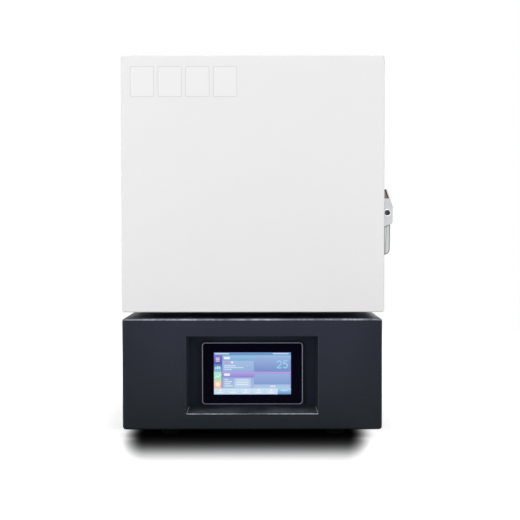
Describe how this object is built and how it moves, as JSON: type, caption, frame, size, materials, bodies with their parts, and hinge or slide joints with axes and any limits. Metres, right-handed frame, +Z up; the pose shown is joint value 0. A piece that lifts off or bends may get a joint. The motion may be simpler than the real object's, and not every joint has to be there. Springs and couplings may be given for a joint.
{
  "type": "dental furnace",
  "caption": "Benchtop high-temperature furnace for dental ceramics: white side-hinged door with a lever latch over a charcoal base with a recessed touch display and a rear cooling fan",
  "frame": {"origin": "middle of the footprint, on the surface that the feet stand on", "axes": "+Z up, the door and display face -Y, +X to the latch side"},
  "size_m": [0.4196, 0.4942, 0.583],
  "materials": {
    "white_coat": "satin",
    "charcoal_coat": "matte",
    "black_coat": "matte",
    "dark_steel": "matte",
    "zinc_steel": "satin",
    "cast_metal": "satin",
    "bezel_grey": "satin",
    "black_glass": "gloss",
    "black_plastic": "satin",
    "ceramic_fibre": "matte",
    "rope_seal": "matte",
    "hearth_ceramic": "matte",
    "element_ceramic": "satin",
    "holder_ceramic": "satin",
    "aluminium_part": "satin",
    "foot_rubber": "matte",
    "core_iron": "satin",
    "coil_copper": "satin"
  },
  "bodies": {
    "cabinet": {"outer_cover": "white_coat", "front_frame": "white_coat", "rear_panel": "white_coat", "base_shell": "charcoal_coat", "base_rear_panel": "charcoal_coat", "display_panel": "black_coat", "base_floor": "dark_steel", "plinth_frame": "dark_steel", "body_floor": "zinc_steel", "inner_casing": "zinc_steel", "body_hinge_leaf_lower": "zinc_steel", "body_hinge_leaf_upper": "zinc_steel", "hinge_pin_lower": "zinc_steel", "hinge_pin_upper": "zinc_steel", "latch_keeper": "zinc_steel", "thermocouple_head": "zinc_steel", "fan_guard": "cast_metal", "display_bezel": "bezel_grey", "display_glass": "black_glass", "display_housing": "black_plastic", "fan_frame": "black_plastic", "switch_body": "black_plastic", "cable_gland": "black_plastic", "insulation_top": "ceramic_fibre", "insulation_bottom": "ceramic_fibre", "insulation_left": "ceramic_fibre", "insulation_right": "ceramic_fibre", "insulation_back": "ceramic_fibre", "hearth_plate": "hearth_ceramic", "heating_element_front_left": "element_ceramic", "heating_element_front_right": "element_ceramic", "heating_element_rear_left": "element_ceramic", "heating_element_rear_right": "element_ceramic", "element_holder_front_left": "holder_ceramic", "element_holder_front_right": "holder_ceramic", "element_holder_rear_left": "holder_ceramic", "element_holder_rear_right": "holder_ceramic", "thermocouple_sheath": "holder_ceramic", "contact_strap_left": "aluminium_part", "contact_strap_right": "aluminium_part", "contact_strap_cross": "aluminium_part", "power_regulator": "aluminium_part", "foot_front_left": "foot_rubber", "foot_front_right": "foot_rubber", "foot_rear_left": "foot_rubber", "foot_rear_right": "foot_rubber", "transformer_core": "core_iron", "transformer_coil": "coil_copper"},
    "door": {"door_shell": "white_coat", "door_liner": "zinc_steel", "door_insulation": "ceramic_fibre", "door_gasket": "rope_seal", "door_hinge_leaf_lower": "zinc_steel", "door_hinge_leaf_upper": "zinc_steel", "latch_bracket": "cast_metal"},
    "latch": {"latch_shaft": "dark_steel", "latch_lever": "cast_metal", "latch_cam": "zinc_steel"},
    "fan": {"fan_rotor": "black_plastic"},
    "rocker": {"switch_rocker": "black_plastic"}
  },
  "joints": [
    {"name": "door_hinge", "type": "hinge", "parent": "cabinet", "child": "door", "pos_m": [-0.2056, -0.20062, 0.388], "axis": [0, 0, -1], "range_deg": [0, 115]},
    {"name": "latch_lever_pivot", "type": "hinge", "parent": "door", "child": "latch", "pos_m": [0.2011, -0.20713, 0.3447], "axis": [0, -1, 0], "range_deg": [0, 90]},
    {"name": "fan_spin", "type": "hinge", "parent": "cabinet", "child": "fan", "pos_m": [-0.1121, 0.21488, 0.098], "axis": [0, 1, 0], "continuous": true},
    {"name": "switch_tilt", "type": "hinge", "parent": "cabinet", "child": "rocker", "pos_m": [0.1129, 0.22562, 0.135], "axis": [1, 0, 0], "range_deg": [0, 20]}
  ]
}
